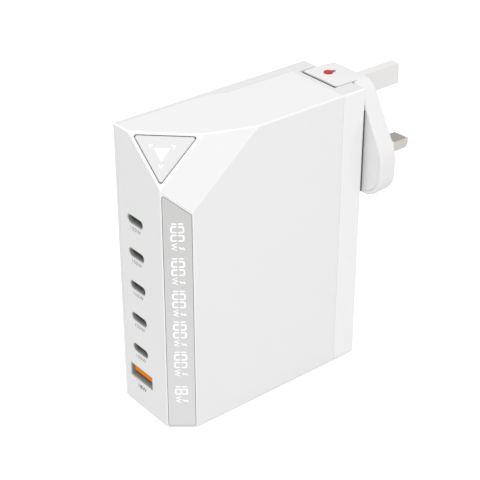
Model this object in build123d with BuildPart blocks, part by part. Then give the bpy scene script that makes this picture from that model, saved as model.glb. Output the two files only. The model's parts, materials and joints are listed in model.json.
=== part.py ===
from build123d import *
import os

# Desktop charger with six sockets, a corner button, a chamfer readout and a detachable three pin plug.
# Millimetres. The origin is the middle of the footprint on the table, +X the right side, -Y the sockets.

# Casing
case_width = 33.0
case_depth = 85.5
case_height = 112.5
wall = 2.0
edge_round = 0.6
chamfer_x = 6.7
chamfer_y = 8.4
corner_cut_x = 17.5
corner_cut_y = 18.3
corner_cut_z = 15.0
side_cut_y = 36.8
facet_wall = 3.6

# Seam between the matt cover and the gloss shell
seam_gap = 0.06
left_strip = 2.0
left_strip_wide = 5.05
strip_step_start = 37.8
strip_step_end = 45.1
rear_strip = 10.2
lip_length = 2.2
lip_thick = 1.0
fit_gap = 0.1

# Base pad
pad_width = 20.0
pad_length = 60.0
pad_recess = 0.6
pad_proud = 0.4
pad_corner = 3.0

# Sockets
port_from_left = 10.9
port_count = 5
top_port_drop = 33.45
low_port_height = 25.45
usb_a_height = 14.2
usb_c_hole_width = 9.2
usb_c_hole_height = 3.52
usb_c_width = 8.94
usb_c_height = 3.26
usb_c_skin = 0.3
usb_c_tongue_width = 6.69
usb_c_tongue_thick = 0.7
usb_a_hole_width = 13.6
usb_a_hole_height = 5.9
usb_a_width = 13.1
usb_a_height_outer = 5.4
usb_a_skin = 0.35
usb_a_corner = 0.5
usb_a_tongue_width = 11.1
usb_a_tongue_thick = 2.4
usb_a_tongue_lift = 0.8
usb_a_tongue_recess = 0.8
usb_a_contact_recess = 0.8
usb_a_contact_width = 1.0
usb_a_contact_thick = 0.25
usb_a_contact_pitch = 2.4
mouth_recess = 0.2
tongue_recess = 0.8
socket_base = 3.0
socket_fit = 0.06

# Socket board
port_board_depth = 10.5
board_thick = 1.6
port_board_width = 18.0
port_board_left_gap = 4.0
port_board_floor = 7.0
port_board_top = 7.8
port_post_from_left = 18.6
post_radius = 2.2

# Fasteners shared by the boards
screw_radius = 1.0
screw_hole_gap = 0.06
screw_head_radius = 1.8
screw_head = 1.3
screw_length = 5.0

# Display
window_margin = 0.35
window_bottom = 0.75
window_drop = 1.3
window_corner = 0.7
window_thick = 1.2
window_gap = 0.16
window_ledge = 1.4
mask_depth = 3.0
mask_width = 7.6
mask_floor = 5.0
mask_top = 10.5
well_width = 5.2
well_wall = 3.4
display_board_thick = 1.2
led_size = 1.6
led_thick = 0.8
led_pitch = 4.0

# Button
button_border = 0.9
button_corner = 0.7
button_gap = 0.25
cap_thick = 1.2
cap_bevel = 0.25
press_travel = 0.4
press_clear = 0.1
stem_radius = 2.0
stem_gap = 0.2
collar_radius = 2.6
collar_thick = 0.8
switch_size = 6.0
switch_thick = 3.4
plunger_radius = 1.6
plunger_length = 2.1
button_board_radius = 8.5
button_board_thick = 1.2
button_post_offset = 6.3
button_post_radius = 1.9
button_screw_length = 4.0

# Main board
main_board_front = 14.0
main_board_rear = 7.5
main_board_floor = 8.0
main_board_roof = 8.5
main_boss_height = 3.0
main_boss_radius = 3.0
main_boss_inset = 2.8
sheet_thick = 0.3
sheet_margin = 3.0

# Parts on the main board
inductor_size = 8.0
inductor_height = 5.0
output_row = 8.0
row_gap = 2.0
output_can_radius = 4.0
output_can_height = 11.0
header_length = 30.0
header_width = 2.5
header_reach = 4.0
choke_radius = 9.0
choke_bore = 4.5
choke_height = 9.0
choke_wire = 1.3
choke_clear = 0.1
choke_span = 140.0
transformer_height = 28.0
transformer_depth = 18.0
core_yoke = 5.0
core_leg = 4.0
core_centre = 8.0
winding_overhang = 6.0
winding_clear = 0.2
bulk_radius = 8.0
bulk_clear = 1.4
bulk_gap = 1.0
x_cap_depth = 8.0
x_cap_height = 14.0
x_cap_rise = 14.0
fuse_radius = 4.2
fuse_rise = 8.0
boost_size = 18.0
boost_rise = 15.0
rectifier_height = 15.0
rectifier_thick = 3.6
rectifier_rise = 12.0
sink_thick = 1.5
sink_height = 20.0
sink_rise = 18.0
component_gap = 3.0
thermal_pad_thick = 3.4
spreader_thick = 1.0
spreader_front = 24.0
spreader_length = 46.0
spreader_floor = 12.0
spreader_height = 70.0

# Plug
plug_gap = 1.15
plug_thick = 7.75
plug_half_width = 25.55
plug_half_top = 11.6
plug_shoulder = 24.9
plug_height = 42.5
plug_top_round = 8.0
plug_shoulder_round = 17.0
plug_bottom_round = 9.0
plug_draft = 4.0
plug_edge = 1.0
plug_front_edge = 0.8
plug_wall = 1.8
plug_back = 2.0
lid_thick = 2.0
lid_ledge = 1.0
plate_half = 9.0
plate_reach = 7.1
plate_front_gap = 1.3
plate_edge = 0.45
plate_undercut = 0.8
recess_wall = 1.0
plate_thick = 3.1
plate_gap = 0.5
plate_corner = 1.0
recess_floor = 2.0
scoop_radius = 90.0
scoop_depth = 0.45
scoop_rise = 38.0
pin_spacing = 22.2
earth_drop = 7.5
earth_spacing = 22.2
earth_width = 4.0
earth_height = 8.0
earth_length = 22.7
pin_width = 6.35
pin_thick = 4.0
pin_length = 17.7
pin_tip = 2.0
pin_taper = 25.0
earth_bevel = 0.45
sleeve_length = 9.5
sleeve_thick = 0.4
pin_flange = 1.0
pin_flange_thick = 1.2
plug_boss_radius = 2.5
plug_boss_x = 13.2
plug_boss_high = 17.0
plug_boss_low = 5.4
plug_counterbore = 1.4

# Rail and contacts
rail_neck = 12.0
rail_head = 17.0
rail_head_thick = 1.6
rail_gap = 0.3
rail_length = 23.5
rail_from_top = 16.5
contact_offset = 4.0
contact_width = 3.0
contact_thick = 0.5
contact_margin = 1.5
bar_width = 1.2
live_bar_drop = 5.5
neutral_bar_drop = 17.5
bar_land = 1.2
spring_height = 3.0
spring_thick = 0.5

# Lock
lock_offset = -2.2
lock_from_rear = 0.9
lock_travel = 2.4
lock_radius = 0.9
lock_cap_radius = 1.72
lock_cap_thick = 0.3
lock_cap_gap = 0.05
lock_slot_gap = 0.2
lock_web = 1.3
lock_flange = 1.0
lock_flange_half = 2.8
lock_flange_past = 0.4
lock_edge = 0.1
retainer_thick = 0.6
retainer_step = 0.7
lock_tail = 0.8
lock_tail_half = 1.0
lock_toe = 0.6
lock_toe_thick = 1.2
lock_front = 1.2

left = -case_width / 2
right = case_width / 2
front = -case_depth / 2
rear = case_depth / 2
floor = pad_proud
roof = floor + case_height
past = 2.0 * wall
low_corner = (Align.MIN, Align.MIN)


def at_x(x):
    return Plane.YZ.offset(x)


def at_y(y):
    return Plane.XZ.offset(-y)


def at_z(z):
    return Plane.XY.offset(z)


os.makedirs("parts", exist_ok=True)


def save(part, label):
    part.label = label
    export_step(part, f"parts/{label}.step")


# Planes of the casing's slanted faces, each with its normal pointing out
corner_a = Vector(right - chamfer_x - corner_cut_x, front, roof)
corner_b = Vector(right - chamfer_x, front + corner_cut_y, roof)
corner_c = Vector(right - chamfer_x, front, roof - corner_cut_z)
corner_e = Vector(right, front + side_cut_y, roof)
side_ab = (corner_b - corner_a).length
side_bc = (corner_c - corner_b).length
side_ca = (corner_a - corner_c).length
facet_middle = (corner_a * side_bc + corner_b * side_ca + corner_c * side_ab) / (
    side_ab + side_bc + side_ca
)
facet_plane = Plane(
    origin=facet_middle,
    x_dir=corner_b - corner_a,
    z_dir=(corner_c - corner_a).cross(corner_b - corner_a),
)
facet_axis = Axis(facet_plane.origin, facet_plane.z_dir)
side_plane = Plane(origin=corner_b, z_dir=(corner_c - corner_b).cross(corner_e - corner_b))
chamfer_plane = Plane(
    origin=(right - chamfer_x, front, floor),
    x_dir=(chamfer_x, chamfer_y, 0),
    z_dir=(chamfer_y, -chamfer_x, 0),
)
chamfer_width = Vector(chamfer_x, chamfer_y, 0).length


def casing_solid(inset, facet_inset, open_back=0):
    with BuildPart() as solid:
        with BuildSketch(at_z(floor + inset)):
            with BuildLine():
                Polyline(
                    (left - open_back, front),
                    (right - chamfer_x, front),
                    (right, front + chamfer_y),
                    (right, rear + open_back),
                    (left - open_back, rear + open_back),
                    close=True,
                )
            make_face()
            if inset > 0:
                offset(amount=-inset, kind=Kind.INTERSECTION)
        extrude(amount=case_height - 2 * inset)
        split(bisect_by=facet_plane.offset(-facet_inset), keep=Keep.BOTTOM)
        split(bisect_by=side_plane.offset(-inset), keep=Keep.BOTTOM)
    return solid.part


def seam_profile(grow):
    with BuildSketch() as profile:
        with BuildLine():
            Polyline(
                (left - past, front - past),
                (left + left_strip, front - past),
                (left + left_strip, front + strip_step_start),
                (left + left_strip_wide, front + strip_step_end),
                (left + left_strip_wide, rear - rear_strip),
                (right + past, rear - rear_strip),
                (right + past, rear + past),
                (left - past, rear + past),
                close=True,
            )
        make_face()
        if grow != 0:
            offset(amount=grow, kind=Kind.INTERSECTION)
    return profile.sketch


def window_profile(inset):
    slope = corner_cut_z / corner_cut_y * (side_cut_y - chamfer_y) - corner_cut_z
    window_left = case_height - corner_cut_z - window_drop - slope * window_margin / chamfer_width
    window_right = case_height - corner_cut_z - window_drop - slope * (1 - window_margin / chamfer_width)
    with BuildSketch(chamfer_plane) as profile:
        with BuildLine():
            Polyline(
                (window_margin, window_bottom),
                (chamfer_width - window_margin, window_bottom),
                (chamfer_width - window_margin, window_right),
                (window_margin, window_left),
                close=True,
            )
        make_face()
        fillet(profile.vertices(), window_corner)
        if inset > 0:
            offset(amount=-inset, kind=Kind.INTERSECTION)
    return profile.sketch


def button_profile(inset, depth):
    corners = [facet_plane.to_local_coords(point) for point in (corner_a, corner_b, corner_c)]
    with BuildSketch(facet_plane.offset(-depth)) as profile:
        with BuildLine():
            Polyline(*[(point.X, point.Y) for point in corners], close=True)
        make_face()
        offset(amount=-inset, kind=Kind.INTERSECTION)
        fillet(profile.vertices(), button_corner)
    return profile.sketch


def plug_profile(inset):
    with BuildSketch(at_y(rear + plug_gap)) as profile:
        with BuildLine():
            Polyline(
                (-plug_half_top, roof),
                (plug_half_top, roof),
                (plug_half_width, roof - plug_shoulder),
                (plug_half_width, roof - plug_height),
                (-plug_half_width, roof - plug_height),
                (-plug_half_width, roof - plug_shoulder),
                close=True,
            )
        make_face()
        rows = profile.vertices().group_by(Axis.Y)
        fillet(rows[0], plug_bottom_round)
        rows = profile.vertices().group_by(Axis.Y)
        fillet(rows[-1], plug_top_round)
        shoulders = profile.vertices().filter_by(
            lambda v: abs(v.Y - roof + plug_shoulder) < fit_gap and abs(v.X) > plug_half_top
        )
        fillet(shoulders, plug_shoulder_round)
        if inset > 0:
            offset(amount=-inset, kind=Kind.INTERSECTION)
    return profile.sketch


# Places that several pieces share
port_x = left + port_from_left
port_pitch = (case_height - top_port_drop - low_port_height) / (port_count - 1)
port_heights = [roof - top_port_drop - i * port_pitch for i in range(port_count)]
usb_a_z = floor + usb_a_height
port_board_y = front + port_board_depth
port_posts = [
    (port_x, (port_heights[0] + port_heights[1]) / 2),
    (port_x, (port_heights[-2] + port_heights[-1]) / 2),
    (left + port_post_from_left, port_heights[0]),
    (left + port_post_from_left, port_heights[-1]),
]
board_back_x = left + wall + main_boss_height
board_face_x = board_back_x + board_thick
board_front_y = front + main_board_front
board_rear_y = rear - main_board_rear
board_floor_z = floor + main_board_floor
board_roof_z = roof - main_board_roof
spreader_x = right - wall - spreader_thick
main_posts = [
    (y, z)
    for y in (board_front_y + main_boss_inset, board_rear_y - main_boss_inset)
    for z in (board_floor_z + main_boss_inset, board_roof_z - main_boss_inset)
]
pocket_depth = cap_thick + press_travel + press_clear
collar_depth = facet_wall + press_clear
plunger_depth = collar_depth + collar_thick
switch_depth = plunger_depth + press_travel + stem_gap
button_board_depth = switch_depth + switch_thick
switch_well_depth = plunger_depth + plunger_length + press_travel + stem_gap - switch_depth
button_posts = PolarLocations(button_post_offset, 3, start_angle=30)
plug_front_y = rear + plug_gap
plug_rear_y = plug_front_y + plug_thick
lid_back_y = plug_front_y + lid_thick
plug_inner_y = plug_rear_y - plug_back
plate_front_y = rear - plate_reach
plate_under_z = roof - plate_thick
recess_z = plate_under_z - lock_slot_gap
rail_head_y = lid_back_y + rail_gap
rail_back_y = rail_head_y + rail_head_thick
rail_roof_z = roof - rail_from_top
rail_floor_z = rail_roof_z - rail_length
rail_middle_z = rail_roof_z - rail_length / 2
bar_rows = {
    "live_contact": (-contact_offset, rail_roof_z - live_bar_drop),
    "neutral_contact": (contact_offset, rail_roof_z - neutral_bar_drop),
}
earth_z = roof - earth_drop
pin_z = earth_z - earth_spacing
lock_y = rear - lock_from_rear
lock_start_y = plate_front_y + lock_front
lock_end_y = lock_y + lock_radius + lock_flange_past
toe_floor_z = recess_z - recess_floor - lock_slot_gap - lock_toe_thick
retainer_length = rear - wall - lock_start_y + fit_gap
scoop_centre = (plate_front_y + scoop_depth - (scoop_radius**2 - scoop_rise**2) ** 0.5, roof + scoop_rise)
plug_bosses = [
    (x, z)
    for x in (-plug_boss_x, plug_boss_x)
    for z in (roof - plug_boss_high, roof - plug_height + plug_boss_low)
]

outer_sharp = casing_solid(0, 0)
with BuildPart() as casing_outer:
    add(outer_sharp)
    fillet(casing_outer.edges(), edge_round)
cavity = casing_solid(wall, facet_wall)
lip_outside = casing_solid(wall + fit_gap, facet_wall, wall / 2)
lip_root = casing_solid(wall - fit_gap, facet_wall, wall / 2)
lip_inside = casing_solid(wall + fit_gap + lip_thick, facet_wall, wall + past)

# Matt cover
with BuildPart() as front_cover:
    add(casing_outer.part)
    add(cavity, mode=Mode.SUBTRACT)
    extrude(seam_profile(seam_gap), amount=roof + past, mode=Mode.SUBTRACT)
    with BuildSketch(at_y(front + wall)):
        with Locations(*port_posts):
            Circle(post_radius)
    extrude(amount=wall - port_board_depth)
    with BuildSketch(at_y(port_board_y)):
        with Locations(*port_posts):
            Circle(screw_radius + screw_hole_gap)
    extrude(amount=screw_length - board_thick + screw_hole_gap, mode=Mode.SUBTRACT)
    with BuildSketch(at_y(front)):
        with Locations(*[(port_x, z) for z in port_heights]):
            SlotOverall(usb_c_hole_width, usb_c_hole_height)
        with Locations((port_x, usb_a_z)):
            RectangleRounded(usb_a_hole_width, usb_a_hole_height, usb_a_corner)
    extrude(amount=-wall, mode=Mode.SUBTRACT)
    extrude(window_profile(0), amount=-window_thick, mode=Mode.SUBTRACT)
    extrude(window_profile(window_ledge), amount=-past, mode=Mode.SUBTRACT)
    with BuildSketch(facet_plane.offset(-facet_wall)):
        with button_posts:
            Circle(button_post_radius)
    extrude(amount=facet_wall - button_board_depth)
    with BuildSketch(facet_plane.offset(-button_board_depth)):
        with button_posts:
            Circle(screw_radius + screw_hole_gap)
    extrude(amount=button_screw_length - button_board_thick + screw_hole_gap, mode=Mode.SUBTRACT)
    extrude(button_profile(button_border, pocket_depth), amount=past, mode=Mode.SUBTRACT)
    with BuildSketch(facet_plane.offset(-facet_wall)):
        Circle(stem_radius + stem_gap)
    extrude(amount=facet_wall, mode=Mode.SUBTRACT)
    with BuildSketch(at_z(floor)):
        RectangleRounded(pad_width + 2 * fit_gap, pad_length + 2 * fit_gap, pad_corner)
    extrude(amount=pad_recess, mode=Mode.SUBTRACT)
save(front_cover.part, "front_cover")

# Gloss shell with the lip, the bosses, the recess for the plug's plate and the rail
with BuildPart() as shell_lip:
    add(lip_outside)
    extrude(seam_profile(lip_length), amount=roof + past, mode=Mode.INTERSECT)
    extrude(seam_profile(0), amount=roof + past, mode=Mode.SUBTRACT)
    add(lip_inside, mode=Mode.SUBTRACT)

with BuildPart() as shell_lip_root:
    add(lip_root)
    extrude(seam_profile(0), amount=roof + past, mode=Mode.INTERSECT)
    extrude(seam_profile(-lip_length), amount=roof + past, mode=Mode.SUBTRACT)
    add(lip_inside, mode=Mode.SUBTRACT)

with BuildPart() as rear_shell:
    add(casing_outer.part)
    extrude(seam_profile(0), amount=roof + past, mode=Mode.INTERSECT)
    add(cavity, mode=Mode.SUBTRACT)
    add(shell_lip_root.part)
    add(shell_lip.part)
    with BuildSketch(at_x(left + wall)):
        with Locations(*main_posts):
            Circle(main_boss_radius)
    extrude(amount=main_boss_height)
    with BuildSketch(at_x(board_back_x)):
        with Locations(*main_posts):
            Circle(screw_radius + screw_hole_gap)
    extrude(amount=board_thick - screw_length - screw_hole_gap, mode=Mode.SUBTRACT)
    with BuildSketch(at_z(recess_z - recess_floor)):
        with Locations((0, rear - wall / 2)):
            Rectangle(
                2 * (plate_half + plate_gap + wall),
                plate_reach + plate_front_gap + recess_wall - wall / 2,
                align=(Align.CENTER, Align.MAX),
            )
    extrude(amount=roof - wall / 2 - recess_z + recess_floor)
    with BuildSketch(at_z(recess_z)):
        with Locations((0, plate_front_y - plate_front_gap)):
            Rectangle(2 * (plate_half + plate_gap), plate_reach + past, align=(Align.CENTER, Align.MIN))
    extrude(amount=plate_thick + past, mode=Mode.SUBTRACT)
    with BuildSketch(at_z(recess_z - recess_floor)):
        with Locations((lock_offset, lock_start_y - fit_gap)):
            Rectangle(
                2 * (lock_tail_half + plate_gap),
                lock_tail + lock_travel + 2 * fit_gap,
                align=(Align.CENTER, Align.MIN),
            )
    extrude(amount=recess_floor, mode=Mode.SUBTRACT)
    with BuildSketch(at_z(rail_floor_z)):
        with Locations((0, rear)):
            Rectangle(rail_neck, rail_head_y - rear, align=(Align.CENTER, Align.MIN))
        with Locations((0, rail_head_y)):
            Rectangle(rail_head, rail_head_thick, align=(Align.CENTER, Align.MIN))
    extrude(amount=rail_length)
    with BuildSketch(at_y(rail_back_y)):
        with Locations(*[(x, rail_middle_z) for x, z in bar_rows.values()]):
            Rectangle(contact_width + 2 * fit_gap, rail_length - 2 * contact_margin + 2 * fit_gap)
    extrude(amount=contact_thick, mode=Mode.SUBTRACT)
    with BuildSketch(at_y(rail_back_y)):
        with Locations(*bar_rows.values()):
            Rectangle(bar_width + 2 * fit_gap, bar_width + 2 * fit_gap)
    extrude(amount=rail_back_y - rear + wall, mode=Mode.SUBTRACT)
save(rear_shell.part, "rear_shell")

with BuildPart() as base_pad:
    with BuildSketch(at_z(0)):
        RectangleRounded(pad_width, pad_length, pad_corner - fit_gap)
    extrude(amount=pad_proud + pad_recess)
    fillet(base_pad.edges().group_by(Axis.Z)[0], pad_proud / 2)
save(base_pad.part, "base_pad")

# Display behind the chamfer
with BuildPart() as display_window:
    extrude(window_profile(window_gap), amount=-window_thick)
save(display_window.part, "display_window")

well_heights = [z - floor for z in port_heights] + [usb_a_height]
well_height = port_pitch - well_wall
mask_height = case_height - corner_cut_z - mask_top - mask_floor
chamfer_middle = chamfer_width / 2
with BuildPart() as display_mask:
    with BuildSketch(chamfer_plane.offset(-wall)):
        with Locations((chamfer_middle, mask_floor)):
            Rectangle(mask_width, mask_height, align=(Align.CENTER, Align.MIN))
        with Locations(*[(chamfer_middle, z) for z in well_heights]):
            Rectangle(well_width, well_height, mode=Mode.SUBTRACT)
    extrude(amount=-mask_depth)
save(display_mask.part, "display_mask")

with BuildPart() as display_board:
    with BuildSketch(chamfer_plane.offset(-wall - mask_depth)):
        with Locations((chamfer_middle, mask_floor)):
            Rectangle(mask_width, mask_height, align=(Align.CENTER, Align.MIN))
    extrude(amount=-display_board_thick)
save(display_board.part, "display_board")

with BuildPart() as display_leds:
    with BuildSketch(chamfer_plane.offset(-wall - mask_depth)):
        for z in well_heights:
            with Locations((chamfer_middle, z - led_pitch / 2), (chamfer_middle, z + led_pitch / 2)):
                Rectangle(led_size, led_size)
    extrude(amount=led_thick)
save(display_leds.part, "display_leds")

# Button, switch and switch board, stacked along the facet's normal
with BuildPart() as button_cap:
    extrude(button_profile(button_border + button_gap, cap_thick), amount=cap_thick)
    chamfer(button_cap.faces().sort_by(facet_axis)[-1].edges(), cap_bevel)
    with BuildSketch(facet_plane.offset(-cap_thick)):
        Circle(stem_radius)
    extrude(amount=cap_thick - plunger_depth)
    with BuildSketch(facet_plane.offset(-collar_depth)):
        Circle(collar_radius)
    extrude(amount=-collar_thick)
save(button_cap.part, "button_cap")

with BuildPart() as switch_plunger:
    with BuildSketch(facet_plane.offset(-plunger_depth)):
        Circle(plunger_radius)
    extrude(amount=-plunger_length)
save(switch_plunger.part, "switch_plunger")

with BuildPart() as button_switch:
    with BuildSketch(facet_plane.offset(-switch_depth)):
        Rectangle(switch_size, switch_size)
    extrude(amount=-switch_thick)
    with BuildSketch(facet_plane.offset(-switch_depth)):
        Circle(plunger_radius + stem_gap)
    extrude(amount=-switch_well_depth, mode=Mode.SUBTRACT)
save(button_switch.part, "button_switch")

with BuildPart() as button_board:
    with BuildSketch(facet_plane.offset(-button_board_depth)):
        Circle(button_board_radius)
        with button_posts:
            Circle(screw_radius + screw_hole_gap, mode=Mode.SUBTRACT)
    extrude(amount=-button_board_thick)
save(button_board.part, "button_board")

with BuildPart() as button_screws:
    with BuildSketch(facet_plane.offset(-button_board_depth - button_board_thick)):
        with button_posts:
            Circle(screw_head_radius)
    extrude(amount=-screw_head)
    with BuildSketch(facet_plane.offset(-button_board_depth - button_board_thick)):
        with button_posts:
            Circle(screw_radius)
    extrude(amount=button_screw_length)
save(button_screws.part, "button_screws")

# Sockets on their board
for number, z in enumerate(port_heights, start=1):
    with BuildPart() as usb_c_shell:
        with BuildSketch(at_y(port_board_y)):
            with Locations((port_x, z)):
                SlotOverall(usb_c_width, usb_c_height)
                SlotOverall(usb_c_width - 2 * usb_c_skin, usb_c_height - 2 * usb_c_skin, mode=Mode.SUBTRACT)
        extrude(amount=port_board_depth - mouth_recess)
    save(usb_c_shell.part, f"usb_c_shell_{number}")

    with BuildPart() as usb_c_tongue:
        base_gap = 2 * (usb_c_skin + socket_fit)
        with BuildSketch(at_y(port_board_y)):
            with Locations((port_x, z)):
                SlotOverall(usb_c_width - base_gap, usb_c_height - base_gap)
        extrude(amount=socket_base)
        with BuildSketch(at_y(port_board_y)):
            with Locations((port_x, z)):
                Rectangle(usb_c_tongue_width, usb_c_tongue_thick)
        extrude(amount=port_board_depth - mouth_recess - tongue_recess)
    save(usb_c_tongue.part, f"usb_c_tongue_{number}")

usb_a_inner_width = usb_a_width - 2 * usb_a_skin
usb_a_inner_height = usb_a_height_outer - 2 * usb_a_skin
with BuildPart() as usb_a_shell:
    with BuildSketch(at_y(port_board_y)):
        with Locations((port_x, usb_a_z)):
            RectangleRounded(usb_a_width, usb_a_height_outer, usb_a_corner)
            Rectangle(usb_a_inner_width, usb_a_inner_height, mode=Mode.SUBTRACT)
    extrude(amount=port_board_depth - mouth_recess)
save(usb_a_shell.part, "usb_a_shell")

tongue_under_z = usb_a_z + usb_a_tongue_lift - usb_a_tongue_thick / 2
with BuildPart() as usb_a_tongue:
    with BuildSketch(at_y(port_board_y)):
        with Locations((port_x, usb_a_z)):
            Rectangle(usb_a_inner_width - 2 * socket_fit, usb_a_inner_height - 2 * socket_fit)
    extrude(amount=socket_base)
    with BuildSketch(at_y(port_board_y)):
        with Locations((port_x, usb_a_z + usb_a_tongue_lift)):
            Rectangle(usb_a_tongue_width, usb_a_tongue_thick)
    extrude(amount=port_board_depth - mouth_recess - usb_a_tongue_recess)
save(usb_a_tongue.part, "usb_a_tongue")

with BuildPart() as usb_a_contacts:
    with BuildSketch(at_y(port_board_y - socket_base)):
        with Locations((port_x, tongue_under_z)):
            with GridLocations(usb_a_contact_pitch, 1, 4, 1):
                Rectangle(usb_a_contact_width, usb_a_contact_thick, align=(Align.CENTER, Align.MAX))
    extrude(
        amount=port_board_depth - socket_base - mouth_recess - usb_a_tongue_recess - usb_a_contact_recess
    )
save(usb_a_contacts.part, "usb_a_contacts")

with BuildPart() as port_board:
    with BuildSketch(at_y(port_board_y)):
        with Locations((left + port_board_left_gap, floor + port_board_floor)):
            Rectangle(
                port_board_width,
                port_heights[0] + port_board_top - floor - port_board_floor,
                align=low_corner,
            )
        with Locations(*port_posts):
            Circle(screw_radius + screw_hole_gap, mode=Mode.SUBTRACT)
    extrude(amount=-board_thick)
save(port_board.part, "port_board")

with BuildPart() as port_screws:
    with BuildSketch(at_y(port_board_y + board_thick)):
        with Locations(*port_posts):
            Circle(screw_head_radius)
    extrude(amount=-screw_head)
    with BuildSketch(at_y(port_board_y + board_thick)):
        with Locations(*port_posts):
            Circle(screw_radius)
    extrude(amount=screw_length)
save(port_screws.part, "port_screws")

# Main board on the left wall
with BuildPart() as insulation_sheet:
    with BuildSketch(at_x(left + wall)):
        with Locations((board_front_y - sheet_margin, board_floor_z - sheet_margin)):
            Rectangle(
                board_rear_y - board_front_y + sheet_margin,
                board_roof_z - board_floor_z + 2 * sheet_margin,
                align=low_corner,
            )
        with Locations(*main_posts):
            Circle(main_boss_radius + fit_gap, mode=Mode.SUBTRACT)
    extrude(amount=sheet_thick)
save(insulation_sheet.part, "insulation_sheet")

with BuildPart() as main_board:
    with BuildSketch(at_x(board_back_x)):
        with Locations((board_front_y, board_floor_z)):
            Rectangle(board_rear_y - board_front_y, board_roof_z - board_floor_z, align=low_corner)
        with Locations(*main_posts):
            Circle(screw_radius + screw_hole_gap, mode=Mode.SUBTRACT)
    extrude(amount=board_thick)
save(main_board.part, "main_board")

with BuildPart() as main_screws:
    with BuildSketch(at_x(board_face_x)):
        with Locations(*main_posts):
            Circle(screw_head_radius)
    extrude(amount=screw_head)
    with BuildSketch(at_x(board_face_x)):
        with Locations(*main_posts):
            Circle(screw_radius)
    extrude(amount=-screw_length)
save(main_screws.part, "main_screws")

with BuildPart() as board_header:
    with BuildSketch(at_x(board_face_x)):
        with Locations((port_board_y + board_thick, (port_heights[1] + port_heights[2]) / 2)):
            Rectangle(
                main_board_front - port_board_depth + header_reach,
                header_length,
                align=(Align.MIN, Align.CENTER),
            )
    extrude(amount=header_width)
save(board_header.part, "board_header")

inductor_y = board_front_y + output_row + inductor_size / 2
output_can_y = inductor_y + inductor_size / 2 + row_gap + output_can_radius
output_heights = port_heights + [usb_a_z]
with BuildPart() as output_inductors:
    with BuildSketch(at_x(board_face_x)):
        with Locations(*[(inductor_y, z) for z in output_heights]):
            RectangleRounded(inductor_size, inductor_size, usb_a_corner)
    extrude(amount=inductor_height)
save(output_inductors.part, "output_inductors")

with BuildPart() as output_capacitors:
    with BuildSketch(at_x(board_face_x)):
        with Locations(*[(output_can_y, z) for z in output_heights]):
            Circle(output_can_radius)
    extrude(amount=output_can_height)
save(output_capacitors.part, "output_capacitors")

# The power parts stack down from the board's top edge: mains input, bulk capacitors, transformer, boost
input_z = board_roof_z - x_cap_height
bulk_z = input_z - component_gap - bulk_radius
core_z = bulk_z - bulk_radius - component_gap - transformer_height
boost_z = core_z - component_gap - boost_size
bulk_height = spreader_x - bulk_clear - board_face_x
transformer_rise = spreader_x - thermal_pad_thick - board_face_x

# Transformer: core with two windows, and the winding round its middle leg
core_y = output_can_y + output_can_radius + row_gap + winding_overhang
core_middle = (core_y + transformer_depth / 2, core_z + transformer_height / 2)
window_span = transformer_height - 2 * core_leg
window_rise = transformer_rise - 2 * core_yoke
with BuildPart() as transformer_core:
    with BuildSketch(at_x(board_face_x)):
        with Locations(core_middle):
            Rectangle(transformer_depth, transformer_height)
    extrude(amount=transformer_rise)
    with BuildSketch(at_x(board_face_x + core_yoke)):
        with Locations(core_middle):
            Rectangle(transformer_depth + past, window_span)
            Rectangle(transformer_depth + past, core_centre, mode=Mode.SUBTRACT)
    extrude(amount=window_rise, mode=Mode.SUBTRACT)
save(transformer_core.part, "transformer_core")

with BuildPart() as transformer_winding:
    with BuildSketch(at_x(board_face_x + core_yoke)):
        with Locations(core_middle):
            RectangleRounded(
                transformer_depth + 2 * winding_overhang,
                window_span - 2 * winding_clear,
                winding_overhang,
            )
            Rectangle(
                transformer_depth + 2 * winding_clear,
                core_centre + 2 * winding_clear,
                mode=Mode.SUBTRACT,
            )
    extrude(amount=window_rise - winding_clear)
save(transformer_winding.part, "transformer_winding")

bulk_y = core_y - winding_overhang + bulk_radius
for number in (1, 2):
    with BuildPart() as bulk_capacitor:
        with BuildSketch(at_x(board_face_x)):
            with Locations((bulk_y + (number - 1) * (2 * bulk_radius + bulk_gap), bulk_z)):
                Circle(bulk_radius)
        extrude(amount=bulk_height)
        fillet(bulk_capacitor.edges().group_by(Axis.X)[-1], edge_round)
    save(bulk_capacitor.part, f"bulk_capacitor_{number}")

# Mains input parts above the bulk capacitors
choke_outer = choke_radius + choke_wire
choke_middle = (output_can_y, board_roof_z - choke_outer)
choke_plane = Plane(
    origin=(board_face_x, choke_middle[0], choke_middle[1]), x_dir=(0, 1, 0), z_dir=(1, 0, 0)
)
with BuildPart() as choke_core:
    with BuildSketch(choke_plane.offset(choke_wire)):
        Circle(choke_radius)
        Circle(choke_bore, mode=Mode.SUBTRACT)
    extrude(amount=choke_height)
save(choke_core.part, "choke_core")

sector_start = (180 - choke_span) / 2
wound_sector = Plane(
    origin=choke_plane.origin,
    x_dir=Vector(0, 1, 0).rotate(Axis.X, sector_start),
    z_dir=Vector(0, 0, -1).rotate(Axis.X, sector_start),
)
choke_axis = Axis(choke_plane.origin, (1, 0, 0))
with BuildPart() as choke_winding:
    with BuildSketch(wound_sector):
        with Locations((choke_bore - choke_wire, 0)):
            Rectangle(
                choke_outer - choke_bore + choke_wire,
                choke_height + 2 * choke_wire,
                align=low_corner,
            )
        with Locations((choke_bore - choke_clear, choke_wire)):
            Rectangle(
                choke_radius - choke_bore + 2 * choke_clear,
                choke_height,
                align=low_corner,
                mode=Mode.SUBTRACT,
            )
    revolve(axis=choke_axis, revolution_arc=choke_span)
    mirror(about=at_z(choke_middle[1]))
save(choke_winding.part, "choke_winding")

x_cap_y = choke_middle[0] + choke_outer + component_gap
with BuildPart() as x_capacitor:
    with BuildSketch(at_x(board_face_x)):
        with Locations((x_cap_y, input_z)):
            Rectangle(x_cap_depth, x_cap_height, align=low_corner)
    extrude(amount=x_cap_rise)
save(x_capacitor.part, "x_capacitor")

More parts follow.
